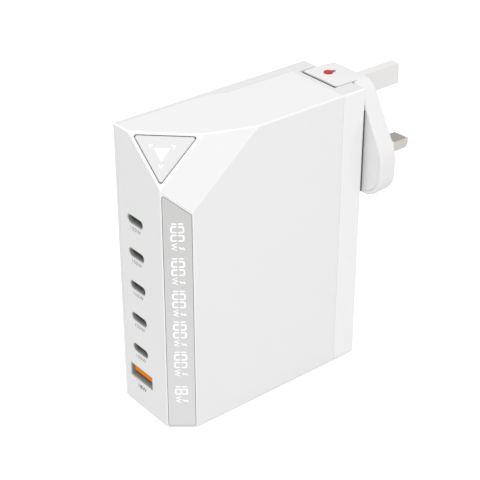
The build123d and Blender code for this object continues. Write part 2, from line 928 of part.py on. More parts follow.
with BuildPart() as fuse:
    with BuildSketch(at_x(board_face_x)):
        with Locations((x_cap_y + x_cap_depth + component_gap + fuse_radius, input_z + fuse_radius)):
            Circle(fuse_radius)
    extrude(amount=fuse_rise)
save(fuse.part, "fuse")

# Boost choke, and the rectifier on its heat sink, below the transformer
boost_y = core_y - winding_overhang
with BuildPart() as boost_choke:
    with BuildSketch(at_x(board_face_x)):
        with Locations((boost_y, boost_z)):
            Rectangle(boost_size, boost_size, align=low_corner)
    extrude(amount=boost_rise)
save(boost_choke.part, "boost_choke")

rectifier_y = boost_y + boost_size + component_gap
with BuildPart() as rectifier:
    with BuildSketch(at_x(board_face_x)):
        with Locations((rectifier_y, boost_z)):
            Rectangle(rectifier_thick, rectifier_height, align=low_corner)
    extrude(amount=rectifier_rise)
save(rectifier.part, "rectifier")

with BuildPart() as rectifier_sink:
    with BuildSketch(at_x(board_face_x)):
        with Locations((rectifier_y + rectifier_thick, boost_z)):
            Rectangle(sink_thick, sink_height, align=low_corner)
    extrude(amount=sink_rise)
save(rectifier_sink.part, "rectifier_sink")

# Heat path from the transformer to the right wall
with BuildPart() as heat_spreader:
    with BuildSketch(at_x(spreader_x)):
        with Locations((front + spreader_front, floor + spreader_floor)):
            Rectangle(spreader_length, spreader_height, align=low_corner)
    extrude(amount=spreader_thick)
save(heat_spreader.part, "heat_spreader")

with BuildPart() as thermal_pad:
    with BuildSketch(at_x(board_face_x + transformer_rise)):
        with Locations(core_middle):
            Rectangle(transformer_depth, transformer_height)
    extrude(amount=thermal_pad_thick)
save(thermal_pad.part, "thermal_pad")

# Contact bars: a strip on the rail's back, a bar through the rail and the wall, a leg to the board
leg_y = board_rear_y - bar_land - bar_width
for name, (x, z) in bar_rows.items():
    with BuildPart() as contact:
        with BuildSketch(at_y(rail_back_y)):
            with Locations((x, rail_middle_z)):
                Rectangle(contact_width, rail_length - 2 * contact_margin)
        extrude(amount=contact_thick)
        with BuildSketch(at_y(rail_back_y)):
            with Locations((x, z)):
                Rectangle(bar_width, bar_width)
        extrude(amount=rail_back_y - leg_y)
        with BuildSketch(at_x(board_face_x)):
            with Locations((leg_y, z)):
                Rectangle(bar_width, bar_width, align=(Align.MIN, Align.CENTER))
        extrude(amount=x - board_face_x)
    save(contact.part, name)

# Plug
plug_outline = plug_profile(0)
under_plate = roof - plate_thick - 2 * lock_slot_gap - retainer_thick
with BuildPart() as plug_hollow:
    extrude(plug_profile(plug_wall), amount=-lid_thick)
    extrude(plug_profile(plug_wall + lid_ledge), amount=plug_back - plug_thick)
    split(bisect_by=at_z(under_plate), keep=Keep.BOTTOM)

with BuildPart() as plug_body:
    extrude(plug_outline, amount=-plug_thick, taper=plug_draft)
    fillet(plug_body.faces().sort_by(Axis.Y)[-1].edges(), plug_edge)
    fillet(plug_body.faces().sort_by(Axis.Y)[0].edges(), plug_front_edge)
    add(plug_hollow.part, mode=Mode.SUBTRACT)
    with BuildSketch(at_z(plate_under_z)):
        with Locations((0, plate_front_y)):
            Rectangle(2 * plate_half, plate_reach + plug_gap + plug_wall, align=(Align.CENTER, Align.MIN))
    extrude(amount=plate_thick)
    plate_corners = plug_body.edges().filter_by(Axis.Z).group_by(Axis.Y)[0]
    fillet(plate_corners, plate_corner)
    with BuildSketch(at_x(-plate_half - fit_gap)):
        with BuildLine():
            Polyline(
                (plate_front_y, plate_under_z),
                (plate_front_y, roof - plate_edge),
                (plate_front_y + plate_undercut, roof - plate_edge - plate_undercut),
                (plate_front_y + plate_undercut, plate_under_z),
                close=True,
            )
        make_face()
    extrude(amount=2 * (plate_half + fit_gap), mode=Mode.SUBTRACT)
    with BuildSketch(at_y(plug_inner_y)):
        with Locations(*plug_bosses):
            Circle(plug_boss_radius)
    extrude(amount=plug_inner_y - lid_back_y)
    with BuildSketch(at_y(lid_back_y)):
        with Locations(*plug_bosses):
            Circle(screw_radius + screw_hole_gap)
    extrude(amount=-screw_length, mode=Mode.SUBTRACT)
    with BuildSketch(at_y(plug_inner_y)):
        with Locations((-pin_spacing / 2, pin_z), (pin_spacing / 2, pin_z)):
            Rectangle(pin_width, pin_thick)
        with Locations((0, earth_z)):
            Rectangle(earth_width, earth_height)
    extrude(amount=-plug_back, mode=Mode.SUBTRACT)
    with BuildSketch(at_z(roof - plug_height)):
        with Locations((0, plug_front_y)):
            Rectangle(
                rail_head + 2 * rail_gap,
                rail_back_y + rail_gap - plug_front_y,
                align=(Align.CENTER, Align.MIN),
            )
    extrude(amount=plug_wall + 2 * lid_ledge, mode=Mode.SUBTRACT)
    with BuildSketch(at_z(plate_under_z)):
        with Locations((lock_offset, lock_start_y - fit_gap)):
            Rectangle(
                2 * (lock_flange_half + lock_slot_gap),
                lock_end_y + lock_travel + lock_slot_gap - lock_start_y + fit_gap,
                align=(Align.CENTER, Align.MIN),
            )
    extrude(amount=plate_thick - lock_web, mode=Mode.SUBTRACT)
    with BuildSketch(at_z(plate_under_z)):
        with Locations((lock_offset, lock_start_y - fit_gap)):
            Rectangle(
                2 * (lock_flange_half + lock_slot_gap + retainer_step),
                retainer_length,
                align=(Align.CENTER, Align.MIN),
            )
    extrude(amount=retainer_thick, mode=Mode.SUBTRACT)
    with BuildSketch(at_z(roof - lock_web)):
        with Locations((lock_offset, lock_y + lock_travel / 2)):
            SlotCenterToCenter(lock_travel, 2 * (lock_radius + fit_gap), rotation=90)
    extrude(amount=lock_web, mode=Mode.SUBTRACT)
    with BuildSketch(Plane.YZ):
        with BuildLine():
            scoop = CenterArc(scoop_centre, scoop_radius, -90, 180)
            Line(scoop @ 1, scoop @ 0)
        make_face()
    revolve(axis=Axis((0, *scoop_centre), (0, 0, 1)), mode=Mode.SUBTRACT)
save(plug_body.part, "plug_body")

lid_slot_half = rail_neck / 2 + rail_gap
with BuildPart() as plug_lid:
    extrude(plug_profile(plug_wall + fit_gap), amount=-lid_thick)
    split(bisect_by=at_z(under_plate - fit_gap), keep=Keep.BOTTOM)
    with BuildSketch(at_y(plug_front_y)):
        with Locations((0, roof - plug_height)):
            Rectangle(
                2 * lid_slot_half,
                rail_roof_z + rail_gap - roof + plug_height,
                align=(Align.CENTER, Align.MIN),
            )
        with Locations(*plug_bosses):
            Circle(screw_radius + screw_hole_gap)
    extrude(amount=-lid_thick, mode=Mode.SUBTRACT)
    with BuildSketch(at_y(plug_front_y)):
        with Locations(*plug_bosses):
            Circle(screw_head_radius + fit_gap)
    extrude(amount=-plug_counterbore, mode=Mode.SUBTRACT)
save(plug_lid.part, "plug_lid")

head_seat_y = plug_front_y + plug_counterbore
with BuildPart() as plug_screws:
    with BuildSketch(at_y(head_seat_y)):
        with Locations(*plug_bosses):
            Circle(screw_head_radius)
    extrude(amount=screw_head)
    with BuildSketch(at_y(head_seat_y)):
        with Locations(*plug_bosses):
            Circle(screw_radius)
    extrude(amount=-screw_length)
save(plug_screws.part, "plug_screws")

with BuildPart() as earth_pin:
    with BuildSketch(at_y(plug_inner_y)):
        with Locations((0, earth_z)):
            Rectangle(earth_width, earth_height)
    extrude(amount=-plug_back - earth_length)
    chamfer(earth_pin.faces().sort_by(Axis.Y)[-1].edges(), earth_bevel)
    with BuildSketch(at_y(plug_inner_y)):
        with Locations((0, under_plate - fit_gap)):
            Rectangle(
                earth_width + 2 * pin_flange,
                under_plate - fit_gap - earth_z + earth_height / 2 + pin_flange,
                align=(Align.CENTER, Align.MAX),
            )
    extrude(amount=pin_flange_thick)
save(earth_pin.part, "earth_pin")

spring_front_y = plug_inner_y - pin_flange_thick - spring_thick
for name, side in (("live", -1), ("neutral", 1)):
    with BuildPart() as power_pin:
        with BuildSketch(at_y(plug_inner_y)):
            with Locations((side * pin_spacing / 2, pin_z)):
                Rectangle(pin_width, pin_thick)
        extrude(amount=pin_tip - plug_back - pin_length)
        with BuildSketch(at_y(plug_rear_y + pin_length - pin_tip)):
            with Locations((side * pin_spacing / 2, pin_z)):
                Rectangle(pin_width, pin_thick)
        extrude(amount=-pin_tip, taper=pin_taper)
        with BuildSketch(at_y(plug_rear_y)):
            with Locations((side * pin_spacing / 2, pin_z)):
                Rectangle(pin_width, pin_thick)
                Rectangle(pin_width - 2 * sleeve_thick, pin_thick - 2 * sleeve_thick, mode=Mode.SUBTRACT)
        extrude(amount=-sleeve_length, mode=Mode.SUBTRACT)
        with BuildSketch(at_y(plug_inner_y)):
            with Locations((side * pin_spacing / 2, pin_z)):
                Rectangle(pin_width + 2 * pin_flange, pin_thick + 2 * pin_flange)
        extrude(amount=pin_flange_thick)
    save(power_pin.part, f"{name}_pin")

    with BuildPart() as power_spring:
        with BuildSketch(at_y(spring_front_y)):
            with Locations((side * (contact_offset - contact_width / 2), pin_z)):
                Rectangle(
                    pin_spacing / 2 + pin_width / 2 - contact_offset + contact_width / 2,
                    spring_height,
                    align=(Align.MIN if side > 0 else Align.MAX, Align.CENTER),
                )
        extrude(amount=-spring_thick)
    save(power_spring.part, f"{name}_spring")

with BuildPart() as pin_sleeves:
    with BuildSketch(at_y(plug_rear_y)):
        with Locations((-pin_spacing / 2, pin_z), (pin_spacing / 2, pin_z)):
            Rectangle(pin_width, pin_thick)
            Rectangle(pin_width - 2 * sleeve_thick, pin_thick - 2 * sleeve_thick, mode=Mode.SUBTRACT)
    extrude(amount=-sleeve_length)
save(pin_sleeves.part, "pin_sleeves")

# Lock: cap and neck in the plate's slot, flange under its web, and a tail with a toe below the recess
flange_roof_z = roof - lock_web - fit_gap
with BuildPart() as lock_slider:
    with BuildSketch(at_z(flange_roof_z - lock_flange)):
        with Locations((lock_offset, lock_start_y)):
            Rectangle(
                2 * lock_flange_half,
                lock_end_y - lock_start_y,
                align=(Align.CENTER, Align.MIN),
            )
    extrude(amount=lock_flange)
    with BuildSketch(at_z(flange_roof_z)):
        with Locations((lock_offset, lock_y)):
            Circle(lock_radius)
    extrude(amount=roof + lock_cap_gap - flange_roof_z)
    with BuildSketch(at_z(roof + lock_cap_gap)):
        with Locations((lock_offset, lock_y)):
            Circle(lock_cap_radius)
    extrude(amount=lock_cap_thick)
    fillet(lock_slider.edges().group_by(Axis.Z)[-1], lock_edge)
    with BuildSketch(at_z(flange_roof_z - lock_flange)):
        with Locations((lock_offset, lock_start_y)):
            Rectangle(2 * lock_tail_half, lock_tail, align=(Align.CENTER, Align.MIN))
    extrude(amount=toe_floor_z - flange_roof_z + lock_flange)
    with BuildSketch(at_z(toe_floor_z)):
        with Locations((lock_offset, lock_start_y)):
            Rectangle(2 * lock_tail_half, lock_tail + lock_toe, align=(Align.CENTER, Align.MIN))
    extrude(amount=lock_toe_thick)
save(lock_slider.part, "lock_slider")

with BuildPart() as lock_retainer:
    with BuildSketch(at_z(plate_under_z)):
        with Locations((lock_offset, lock_start_y)):
            Rectangle(
                2 * (lock_flange_half + lock_slot_gap + retainer_step - fit_gap),
                retainer_length - 2 * fit_gap,
                align=(Align.CENTER, Align.MIN),
            )
        with Locations((lock_offset, lock_start_y - fit_gap)):
            Rectangle(
                2 * (lock_tail_half + lock_slot_gap),
                lock_tail + lock_travel + 2 * fit_gap,
                align=(Align.CENTER, Align.MIN),
                mode=Mode.SUBTRACT,
            )
    extrude(amount=retainer_thick)
save(lock_retainer.part, "lock_retainer")
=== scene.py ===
import json
from math import hypot, radians

import bpy
from mathutils import Matrix, Vector


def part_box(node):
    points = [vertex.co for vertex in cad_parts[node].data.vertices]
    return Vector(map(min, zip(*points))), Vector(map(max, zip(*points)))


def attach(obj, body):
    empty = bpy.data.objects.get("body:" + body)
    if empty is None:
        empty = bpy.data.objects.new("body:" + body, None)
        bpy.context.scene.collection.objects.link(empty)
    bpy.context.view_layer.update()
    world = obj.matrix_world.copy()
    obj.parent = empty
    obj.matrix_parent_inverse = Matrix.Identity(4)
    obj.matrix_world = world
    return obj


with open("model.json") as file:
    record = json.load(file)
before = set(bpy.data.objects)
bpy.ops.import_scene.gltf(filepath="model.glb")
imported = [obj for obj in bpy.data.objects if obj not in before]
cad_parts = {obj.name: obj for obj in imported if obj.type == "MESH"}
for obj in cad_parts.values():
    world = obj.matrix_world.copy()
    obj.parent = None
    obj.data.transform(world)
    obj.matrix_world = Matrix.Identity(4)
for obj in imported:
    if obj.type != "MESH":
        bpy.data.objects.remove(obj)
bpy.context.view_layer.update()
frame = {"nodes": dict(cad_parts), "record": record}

nodes = frame["nodes"]
mm = 0.001
print("frame loaded:", len(nodes), "nodes")


def deselectAll():
    if bpy.context.object and bpy.context.object.mode != "OBJECT":
        bpy.ops.object.mode_set(mode="OBJECT")
    bpy.ops.object.select_all(action="DESELECT")


def makeActive(piece):
    deselectAll()
    piece.select_set(True)
    bpy.context.view_layer.objects.active = piece


def applyPlace(piece):
    makeActive(piece)
    bpy.ops.object.transform_apply(location=True, rotation=True, scale=True)


def copyPiece(piece, place):
    twin = piece.copy()
    twin.data = piece.data.copy()
    bpy.context.scene.collection.objects.link(twin)
    twin.matrix_world = place
    return twin


def joinPieces(parts, name):
    deselectAll()
    for part in parts:
        part.select_set(True)
    bpy.context.view_layer.objects.active = parts[0]
    if len(parts) > 1:
        bpy.ops.object.join()
    whole = bpy.context.object
    whole.name = name
    whole.data.name = name
    applyPlace(whole)
    return whole


def finishPiece(piece, material, body):
    piece.data.materials.clear()
    piece.data.materials.append(material)
    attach(piece, body)


def linear(hexColour):
    channels = [int(hexColour[i:i + 2], 16) / 255 for i in (0, 2, 4)]
    return [c / 12.92 if c <= 0.04045 else ((c + 0.055) / 1.055) ** 2.4 for c in channels] + [1.0]


def perMetre(millimetres):
    return 1 / (millimetres * mm)


def addNode(tree, kind, settings=None, inputs=None, links=None):
    node = tree.nodes.new(kind)
    for key, value in (settings or {}).items():
        setattr(node, key, value)
    for key, value in (inputs or {}).items():
        node.inputs[key].default_value = value
    for key, source in (links or {}).items():
        tree.links.new(source, node.inputs[key])
    return node


def noise(tree, place, size, detail):
    # size of the blotches in mm
    scale = {"Scale": perMetre(size), "Detail": detail}
    return addNode(tree, "ShaderNodeTexNoise", inputs=scale, links={"Vector": place}).outputs["Fac"]


def blend(tree, factor, first, second):
    # each tone is a hex colour or another node's output
    mix = addNode(tree, "ShaderNodeMix", {"data_type": "RGBA"}, links={0: factor})
    for socket, tone in ((6, first), (7, second)):
        if isinstance(tone, str):
            mix.inputs[socket].default_value = linear(tone)
        else:
            tree.links.new(tone, mix.inputs[socket])
    return mix.outputs[2]


def remap(tree, value, start, end, low=0.0, high=1.0):
    # low..high of the value becomes start..end
    limits = {1: low, 2: high, 3: start, 4: end}
    return addNode(tree, "ShaderNodeMapRange", inputs=limits, links={0: value}).outputs[0]


def combine(tree, operation, first, second):
    # the second is a number or another node's output
    node = addNode(tree, "ShaderNodeMath", {"operation": operation}, links={0: first})
    if isinstance(second, float):
        node.inputs[1].default_value = second
    else:
        tree.links.new(second, node.inputs[1])
    return node.outputs[0]


def facing(tree, source, direction):
    node = addNode(tree, "ShaderNodeVectorMath", {"operation": "DOT_PRODUCT"}, {1: direction}, {0: source})
    return node.outputs["Value"]


def splitAxes(tree, source):
    return addNode(tree, "ShaderNodeSeparateXYZ", links={0: source}).outputs


def addRelief(tree, shader, height, strength, distance):
    size = {"Strength": strength, "Distance": distance * mm}
    bump = addNode(tree, "ShaderNodeBump", inputs=size, links={"Height": height})
    tree.links.new(bump.outputs[0], shader.inputs["Normal"])


def startMaterial(name, settings):
    material = bpy.data.materials.new(name)
    material.use_nodes = True
    tree = material.node_tree
    shader = tree.nodes["Principled BSDF"]
    for key, value in settings.items():
        shader.inputs[key].default_value = value
    coords = addNode(tree, "ShaderNodeTexCoord")
    return material, tree, shader, coords.outputs["Object"]


# Planes that the small pieces lie on
casing = {"chamferX": 6.7 * mm, "chamferY": 8.4 * mm, "cutX": 17.5 * mm, "cutY": 18.3 * mm,
          "cutZ": 15.0 * mm, "sideCut": 36.8 * mm}
coverLow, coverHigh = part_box("front_cover")
edgeX = coverHigh.x - casing["chamferX"]
chamferWidth = hypot(casing["chamferX"], casing["chamferY"])
along = Vector((casing["chamferX"], casing["chamferY"], 0)) / chamferWidth
outward = Vector((casing["chamferY"], -casing["chamferX"], 0)) / chamferWidth
down = Vector((0, 0, -1))
rightward = Vector((1, 0, 0))
frontward = Vector((0, -1, 0))
facetTop = Vector((edgeX - casing["cutX"], coverLow.y, coverHigh.z))
facetRear = Vector((edgeX, coverLow.y + casing["cutY"], coverHigh.z))
facetFoot = Vector((edgeX, coverLow.y, coverHigh.z - casing["cutZ"]))
sideTop = (facetRear - facetTop).length
sideRear = (facetFoot - facetRear).length
sideFront = (facetTop - facetFoot).length
facetMiddle = facetTop * sideRear + facetRear * sideFront + facetFoot * sideTop
facetMiddle = facetMiddle / (sideTop + sideRear + sideFront)
facetRight = (facetRear - facetTop).normalized()
facetOut = (facetFoot - facetTop).cross(facetRear - facetTop).normalized()
sideRim = Vector((coverHigh.x, coverLow.y + casing["sideCut"], coverHigh.z))
sideOut = (facetFoot - facetRear).cross(sideRim - facetRear).normalized()
flatSides = [rightward, -rightward, frontward, -frontward, -down, down, outward, facetOut, sideOut]


def planeAt(origin, right, out):
    high = out.cross(right)
    return Matrix((
        (right.x, high.x, out.x, origin.x),
        (right.y, high.y, out.y, origin.y),
        (right.z, high.z, out.z, origin.z),
        (0, 0, 0, 1),
    ))


def mouldedPlastic(name, colour, deep, roughness, grain, bump, specular=0.5, shadedSidesFace=None, shadeBox=None):
    # moulded plastic: spark-eroded grain in the bump, and a slow drift of tone across the moulding
    settings = {"IOR": 1.49, "Specular IOR Level": specular}
    material, tree, shader, place = startMaterial(name, settings)
    tone = blend(tree, noise(tree, place, 28, 2.0), colour, deep)
    # painted shade on the sides, where a face is given
    tone = shadeSides(tree, shadedSidesFace, tone) if shadedSidesFace else tone
    # painted shade in a gap, where a box is given
    tone = paintedShadeZone(tree, place, shadeBox, tone) if shadeBox else tone
    tree.links.new(tone, shader.inputs["Base Color"])
    fine = noise(tree, place, grain, 3.0)
    tree.links.new(remap(tree, fine, roughness - 0.05, roughness + 0.05), shader.inputs["Roughness"])
    addRelief(tree, shader, fine, bump, 0.03)
    return material


def edgeGlossAndHighlightMask(tree):
    # painted highlight mask: 0 on the casing's flat faces, 1 on the rounded edges that look forward, less on
    # the others; also sets the polished edges' lower roughness
    normal = addNode(tree, "ShaderNodeNewGeometry").outputs["Normal"]
    best = facing(tree, normal, flatSides[0])
    for side in flatSides[1:]:
        best = combine(tree, "MAXIMUM", best, facing(tree, normal, side))
    edges = remap(tree, best, 0.0, 1.0, 0.9985, 0.98)
    forward = remap(tree, splitAxes(tree, normal)["Y"], 0.3, 1.0, -0.02, -0.4)
    return combine(tree, "MULTIPLY", edges, forward)


def casingPlastic(name, colour, highlightTone, roughness, grain, bump, coat, shadeBox=None):
    # casing plastic: fine moulded grain, polished rounded edges with lower roughness, and a painted highlight
    # that whitens the rounded edges
    settings = {"IOR": 1.5, "Coat Weight": coat, "Coat Roughness": 0.03, "Coat IOR": 2.0}
    material, tree, shader, place = startMaterial(name, settings)
    edges = edgeGlossAndHighlightMask(tree)
    # painted highlight: base colour whitened on the rounded edges, most on those that look forward
    tone = blend(tree, edges, colour, highlightTone)
    # painted shade in a gap, where a box is given
    tone = paintedShadeZone(tree, place, shadeBox, tone) if shadeBox else tone
    tree.links.new(tone, shader.inputs["Base Color"])
    tree.links.new(remap(tree, edges, roughness, min(roughness, 0.2)), shader.inputs["Roughness"])
    addRelief(tree, shader, noise(tree, place, grain, 3.0), bump, 0.03)
    return material


def platedMetal(name, colour, deep, roughness, streak, metallic=1.0):
    # plated metal: fine drawn streaks along the part, and a faint mottling of the plating
    material, tree, shader, place = startMaterial(name, {"Metallic": metallic})
    tone = blend(tree, noise(tree, place, 2.5, 3.0), colour, deep)
    tree.links.new(tone, shader.inputs["Base Color"])
    across = perMetre(streak)
    drawn = addNode(tree, "ShaderNodeMapping", inputs={"Scale": (across, perMetre(40 * streak), across)},
                    links={"Vector": place})
    streaks = addNode(tree, "ShaderNodeTexNoise", inputs={"Scale": 1.0, "Detail": 2.0},
                      links={"Vector": drawn.outputs[0]})
    lines = streaks.outputs["Fac"]
    tree.links.new(remap(tree, lines, roughness - 0.06, roughness + 0.08), shader.inputs["Roughness"])
    addRelief(tree, shader, lines, 0.08, 0.01)
    return material


def paintedShadeZone(tree, place, shadeBox, source):
    # painted shade: dark tone inside a box of the casing's frame, fading in below its top
    axes = splitAxes(tree, place)
    inside = remap(tree, axes["Z"], 0.0, 1.0, *shadeBox["fade"])
    for axis, low, high in zip("XYZ", shadeBox["low"], shadeBox["high"]):
        for operation, limit in (("GREATER_THAN", low), ("LESS_THAN", high)):
            inside = combine(tree, "MULTIPLY", inside, combine(tree, operation, axes[axis], limit))
    return blend(tree, inside, source, shadeBox["tone"])


def shadeSides(tree, out, source):
    # painted shade: dark tone on the sides of a piece whose face looks along out, so the gap round it reads
    # dark
    normal = addNode(tree, "ShaderNodeNewGeometry").outputs["Normal"]
    sides = remap(tree, facing(tree, normal, out), 0.0, 1.0, 0.7, 0.3)
    return blend(tree, sides, source, "303030")


def windowPlastic(name, low, high, roughness, bottom, top):
    # tinted polycarbonate: deeper tint at the top, a lightly frosted face, and painted shade on its sides
    material, tree, shader, place = startMaterial(name, {"IOR": 1.58, "Roughness": roughness})
    rise = remap(tree, splitAxes(tree, place)["Z"], 0.0, 1.0, bottom, top)
    tint = shadeSides(tree, outward, blend(tree, rise, low, high))
    tree.links.new(tint, shader.inputs["Base Color"])
    addRelief(tree, shader, noise(tree, place, 0.3, 2.0), 0.03, 0.02)
    return material


def litPlastic(name, colour, strength):
    # light guide seen lit: even white with a little glow of its own
    settings = {"Roughness": 0.4, "Emission Color": linear(colour), "Emission Strength": strength}
    material, tree, shader, place = startMaterial(name, settings)
    tone = blend(tree, noise(tree, place, 3, 1.0), colour, "F4F4F4")
    tree.links.new(tone, shader.inputs["Base Color"])
    return material


def twoShotPlastic(name, colour, deep, foot, level):
    # two-shot moulding: coloured cap over a dark foot, with a little wear in the gloss
    material, tree, shader, place = startMaterial(name, {"IOR": 1.49})
    wear = noise(tree, place, 1.5, 2.0)
    above = combine(tree, "GREATER_THAN", splitAxes(tree, place)["Z"], level)
    tone = blend(tree, above, foot, blend(tree, wear, colour, deep))
    tree.links.new(tone, shader.inputs["Base Color"])
    tree.links.new(remap(tree, wear, 0.32, 0.48), shader.inputs["Roughness"])
    return material


def inkPrint(name, colour, deep):
    # pad printed ink: thin, flat, a little uneven in cover
    material, tree, shader, place = startMaterial(name, {"Roughness": 0.5})
    tone = blend(tree, noise(tree, place, 0.5, 2.0), colour, deep)
    tree.links.new(tone, shader.inputs["Base Color"])
    return material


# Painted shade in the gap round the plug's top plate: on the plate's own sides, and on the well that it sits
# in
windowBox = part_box("display_window")
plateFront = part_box("plug_body")[0].y
roof = coverHigh.z
rear = -coverLow.y
plateShadeZone = {"low": (-9.1 * mm, plateFront - 0.05 * mm, roof - 3.3 * mm),
             "high": (9.1 * mm, rear + 2.6 * mm, roof),
             "fade": (roof - 0.08 * mm, roof - 0.5 * mm), "tone": "B0B0B0"}
wellShadeZone = {"low": (-9.4 * mm, plateFront - 1.35 * mm, roof - 3.4 * mm),
            "high": (9.55 * mm, rear + 0.1 * mm, roof),
            "fade": (roof - 0.15 * mm, roof - 0.5 * mm), "tone": "A0A0A0"}
finishes = {
    # the white third colour of the casing finishes is the painted highlight on their rounded edges
    "matt_cover": casingPlastic("matt white ABS", "EFEFEF", "FFFFFF", 0.5, 0.35, 0.2, 0.0),
    "gloss_shell": casingPlastic("gloss white PC-ABS", "F5F5F5", "FFFFFF", 0.1, 6.0, 0.02, 1.0, wellShadeZone),
    "gloss_plug": mouldedPlastic("satin white PC", "EFEEEE", "EDECEC", 0.4, 1.2, 0.06, 0.25, shadeBox=plateShadeZone),
    "earth_plastic": mouldedPlastic("white nylon pin", "EDECEB", "EAE9E8", 0.4, 0.8, 0.1),
    "pin_sleeve": mouldedPlastic("white nylon sleeve", "EEECE8", "EAE8E4", 0.45, 0.8, 0.1),
    "base_rubber": mouldedPlastic("grey silicone rubber", "6A6A6C", "626264", 0.75, 0.8, 0.3),
    "display_window": windowPlastic("tinted polycarbonate", "E2E2E2", "CECECD", 0.3,
                                    windowBox[0].z, windowBox[1].z),
    # the button cap gets painted shade on its sides
    "button_cap": mouldedPlastic("satin white PC cap", "E2E2E3", "E0E0E1", 0.4, 0.4, 0.12,
                                 shadedSidesFace=facetOut),
    "black_plastic": mouldedPlastic("black nylon", "232323", "1C1C1C", 0.5, 0.5, 0.15),
    "white_led": litPlastic("LED resin", "FFF8E0", 0.6),
    "circuit_board": mouldedPlastic("green solder mask", "1E5A33", "194D2B", 0.35, 1.0, 0.1),
    "screw_steel": platedMetal("zinc plated steel", "A9AAAB", "969798", 0.3, 0.1),
    "socket_steel": platedMetal("tin plated steel", "B4BAB2", "A6ACA4", 0.5, 0.1, 0.35),
    "orange_plastic": mouldedPlastic("orange nylon", "FF8A00", "FA8200", 0.55, 0.5, 0.12, 0.05),
    "contact_brass": platedMetal("plated brass", "D8B36A", "C9A257", 0.28, 0.1),
    "insulating_sheet": mouldedPlastic("fish paper", "D8D4C4", "CEC9B6", 0.6, 0.6, 0.2),
    "yellow_plastic": mouldedPlastic("yellow film capacitor case", "D9B43A", "CFA92F", 0.4, 0.6, 0.1),
    "ferrite": mouldedPlastic("sintered ferrite", "3A3A3C", "303032", 0.6, 0.3, 0.3),
    "copper_wire": platedMetal("enamelled copper", "C47A45", "A86034", 0.3, 0.3),
    "aluminium_sheet": platedMetal("rolled aluminium", "C9CACC", "B9BABC", 0.35, 0.15),
    "can_sleeve": mouldedPlastic("black shrink sleeve", "2A2A2E", "222226", 0.35, 1.0, 0.1),
    "thermal_rubber": mouldedPlastic("thermal pad", "8FA0B0", "8494A4", 0.8, 0.8, 0.3),
    "pin_metal": platedMetal("nickel plated brass", "E2DDD8", "D6D1CB", 0.3, 0.12),
    "red_plastic": twoShotPlastic("red and black acetal", "CC1C18", "C21612", "101010", roof + 0.02 * mm),
}
for entry in frame["record"]["subparts"]:
    surface = nodes[entry["node"]].data
    surface.materials.clear()
    surface.materials.append(finishes[entry["material_slot"]])
print("finishes set:", len(finishes))

# Dark bead round the window: a dark piece put in the gap round it, standing in for the shade there
bead = {"margin": 0.35, "bottom": 0.75, "left": 95.93, "right": 88.19, "corner": 0.7,
        "width": 0.17, "deep": 0.5, "sunk": 0.03}
spanX = chamferWidth - 2 * bead["margin"] * mm
spanY = (bead["left"] - bead["bottom"]) * mm
deselectAll()
bpy.ops.mesh.primitive_plane_add(size=1)
windowShadeBead = bpy.context.object
windowShadeBead.scale = (spanX, spanY, 1)
applyPlace(windowShadeBead)
bpy.ops.object.mode_set(mode="EDIT")
bpy.ops.mesh.select_mode(type="VERT")
bpy.ops.mesh.select_all(action="DESELECT")
bpy.ops.object.mode_set(mode="OBJECT")
for point in windowShadeBead.data.vertices:
    point.select = point.co.x > 0 and point.co.y > 0
bpy.ops.object.mode_set(mode="EDIT")
bpy.ops.transform.translate(value=(0, (bead["right"] - bead["left"]) * mm, 0))  # slanted top edge
bpy.ops.mesh.select_all(action="SELECT")
bpy.ops.mesh.bevel(offset=bead["corner"] * mm, segments=6, affect="VERTICES")
bpy.ops.mesh.select_mode(type="FACE")
bpy.ops.mesh.select_all(action="SELECT")
bpy.ops.mesh.inset(thickness=bead["width"] * mm)
bpy.ops.mesh.delete(type="FACE")
bpy.ops.mesh.select_all(action="SELECT")
bpy.ops.mesh.extrude_region_move(TRANSFORM_OT_translate={"value": (0, 0, -bead["deep"] * mm)})
bpy.ops.mesh.select_all(action="SELECT")
bpy.ops.mesh.normals_make_consistent(inside=False)
bpy.ops.object.mode_set(mode="OBJECT")
beadMiddle = Vector((edgeX, coverLow.y, coverLow.z + bead["bottom"] * mm + spanY / 2))
beadMiddle += along * chamferWidth / 2 - outward * bead["sunk"] * mm
windowShadeBead.matrix_world = planeAt(beadMiddle, along, outward)
windowShadeBead = joinPieces([windowShadeBead], "window_shade_bead")
# dark bead material: painted shade in the window's gap
beadShadeMaterial = mouldedPlastic("black bead as painted gap shade", "1C1C1C", "161616", 0.6, 0.4, 0.1)
finishPiece(windowShadeBead, beadShadeMaterial, "casing")
print("window bead made:", len(windowShadeBead.data.polygons), "faces")

# Lit readouts on the window
readout = {
    "starts": [85.1, 71.6, 58.6, 46.0, 33.3, 18.35],  # mm above the casing's bottom, where each number begins
    "values": ["100", "100", "100", "100", "100", "18"],
    "base": 2.98, "height": 4.68, "width": 2.66, "stroke": 0.54, "gap": 0.6, "cut": 0.24, "split": 0.36,
    "unit": 2.0, "unitLength": 2.7, "unitGap": 0.15, "unitText": 2.84, "unitWeight": 0.03,
    "bolt": 1.8, "boltAt": 0.72, "boltWide": 0.85, "thick": 0.03,
}
segmentsOf = {"0": "abcdef", "1": "bc", "8": "abcdefg"}


def bevelUprights(piece, cut, steps):
    makeActive(piece)
    bpy.ops.object.mode_set(mode="EDIT")
    bpy.ops.mesh.select_mode(type="EDGE")
    bpy.ops.mesh.select_all(action="DESELECT")
    bpy.ops.object.mode_set(mode="OBJECT")
    points = piece.data.vertices
    for edge in piece.data.edges:
        a, b = [points[i].co for i in edge.vertices]
        edge.select = (a - b).xy.length < 1e-7
    bpy.ops.object.mode_set(mode="EDIT")
    bpy.ops.mesh.bevel(offset=cut, segments=steps, affect="EDGES")
    bpy.ops.object.mode_set(mode="OBJECT")


